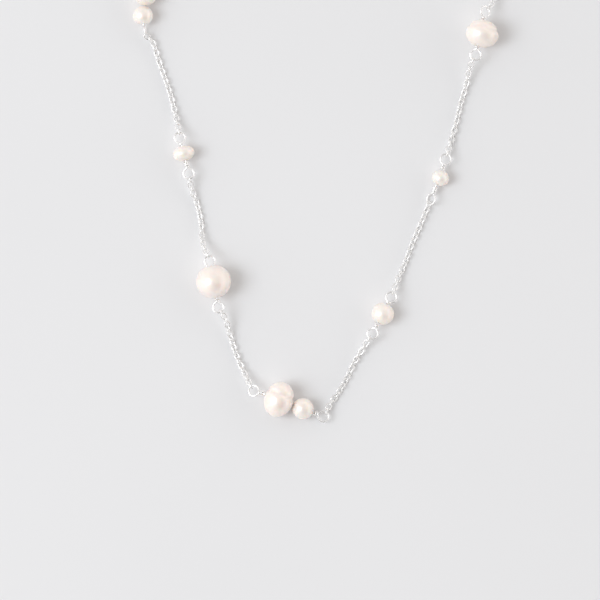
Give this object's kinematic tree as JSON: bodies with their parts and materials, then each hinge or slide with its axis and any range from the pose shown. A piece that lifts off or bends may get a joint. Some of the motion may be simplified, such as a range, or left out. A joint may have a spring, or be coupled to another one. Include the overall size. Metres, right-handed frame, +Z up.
{
  "type": "station necklace",
  "caption": "Fine cable chain necklace with round and oval pearls on wire-wrapped stations, lying opened out in a loop.",
  "frame": {"origin": "middle of the loop's box, on the surface that it lies on", "axes": "+Z up from the surface, +Y from the front of the necklace towards its clasp, +X to the right seen from above with the front nearest"},
  "size_m": [0.0998, 0.1595, 0.0085],
  "materials": {
    "pearl": "nacre, satin gloss with a soft rosy sheen",
    "station_silver": "polished silver wire",
    "chain_silver": "polished silver links",
    "clasp_silver": "polished silver"
  },
  "bodies": {
    "root": {"pearl_top_upper": "pearl", "pearl_top_lower": "pearl", "pearl_left_oval": "pearl", "pearl_left_large": "pearl", "pearl_front_large": "pearl", "pearl_front_small": "pearl", "pearl_right_round": "pearl", "pearl_right_small": "pearl", "pearl_right_large": "pearl", "wire_top": "station_silver", "wire_left_upper": "station_silver", "wire_left_lower": "station_silver", "wire_front": "station_silver", "wire_right_lower": "station_silver", "wire_right_middle": "station_silver", "wire_right_upper": "station_silver", "chain_left_upper": "chain_silver", "chain_left_middle": "chain_silver", "chain_left_lower": "chain_silver", "chain_right_lower": "chain_silver", "chain_right_middle": "chain_silver", "chain_right_upper": "chain_silver", "chain_back_right": "chain_silver", "chain_back_left": "chain_silver", "catch_ring": "clasp_silver", "clasp": "clasp_silver"}
  },
  "joints": []
}
